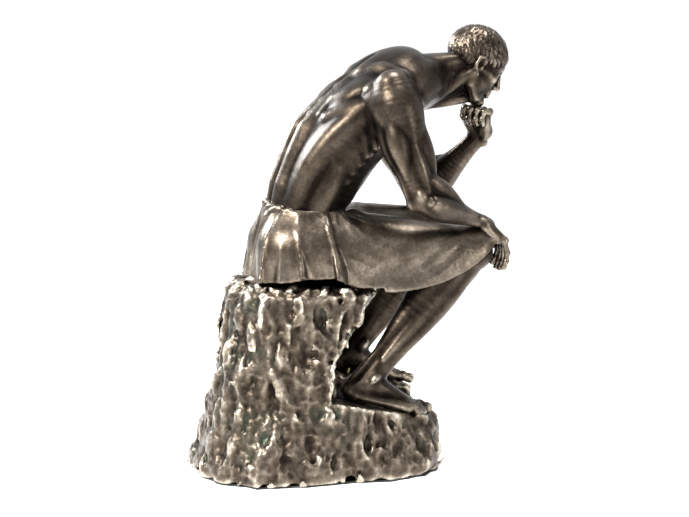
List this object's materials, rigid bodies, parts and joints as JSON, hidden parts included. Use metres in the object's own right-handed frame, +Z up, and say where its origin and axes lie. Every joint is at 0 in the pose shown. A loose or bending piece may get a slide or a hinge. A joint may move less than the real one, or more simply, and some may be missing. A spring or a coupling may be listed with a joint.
{
  "type": "seated thinking figure statuette",
  "caption": "Cast bronze seated figure with a cloth over hips and thighs, chin on fist, on a hollow rough rock with a felt underside.",
  "frame": {"origin": "middle of the underside, on the table plane, below the middle of the plinth bar", "axes": "+Z up, +X the way the figure faces, +Y the figure's left"},
  "size_m": [0.2756, 0.156, 0.3698],
  "materials": {
    "bronze": "dark brown patina, waxed, rubbed to pale metal on the ridges",
    "brass": "plain drawn rod",
    "steel": "bright zinc",
    "felt": "pressed wool felt, dark"
  },
  "bodies": {
    "root": {"rock_base": "bronze", "draped_hips": "bronze", "torso": "bronze", "head": "bronze", "right_arm": "bronze", "left_arm": "bronze", "right_leg": "bronze", "left_leg": "bronze", "core_plugs": "bronze", "seat_studs": "steel", "seat_washers": "steel", "seat_nuts": "steel", "plinth_bar": "steel", "waist_pins": "brass", "neck_dowel": "brass", "shoulder_dowels": "brass", "knee_dowels": "brass", "foot_pins": "brass", "palm_pin": "brass", "elbow_pin": "brass", "chin_pin": "brass", "felt_base": "felt"}
  },
  "joints": []
}
